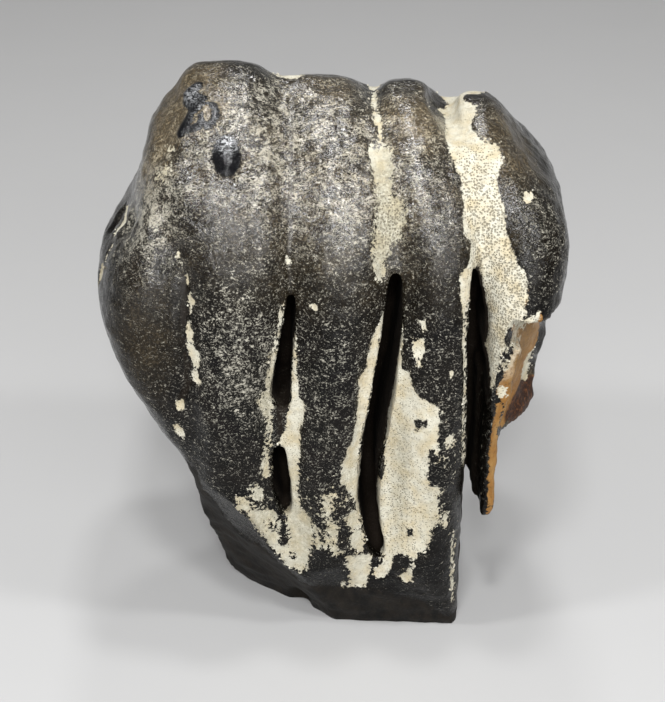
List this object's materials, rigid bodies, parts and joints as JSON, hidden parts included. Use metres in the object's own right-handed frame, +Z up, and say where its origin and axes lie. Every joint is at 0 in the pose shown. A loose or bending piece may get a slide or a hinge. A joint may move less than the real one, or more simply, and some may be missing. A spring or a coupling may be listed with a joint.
{
  "type": "fossil mammoth tooth",
  "caption": "Broken piece of a fossil mammoth molar: tall rounded enamel plates side by side, split by deep seams with pale cement, standing on its flat worn foot.",
  "frame": {"origin": "centre of the bounding box in X and Y, on the flat foot that the tooth stands on", "axes": "+Z up along the plates, +X across the row of plates towards the broken fifth plate, +Y from the front of the tooth to its back"},
  "size_m": [0.0956, 0.0668, 0.1188],
  "materials": {
    "mammoth_tooth": "near-black brown fossil enamel under a clear glossy varnish, with cream porous cement in the seams"
  },
  "bodies": {
    "root": {"mammoth_tooth": "mammoth_tooth"}
  },
  "joints": []
}
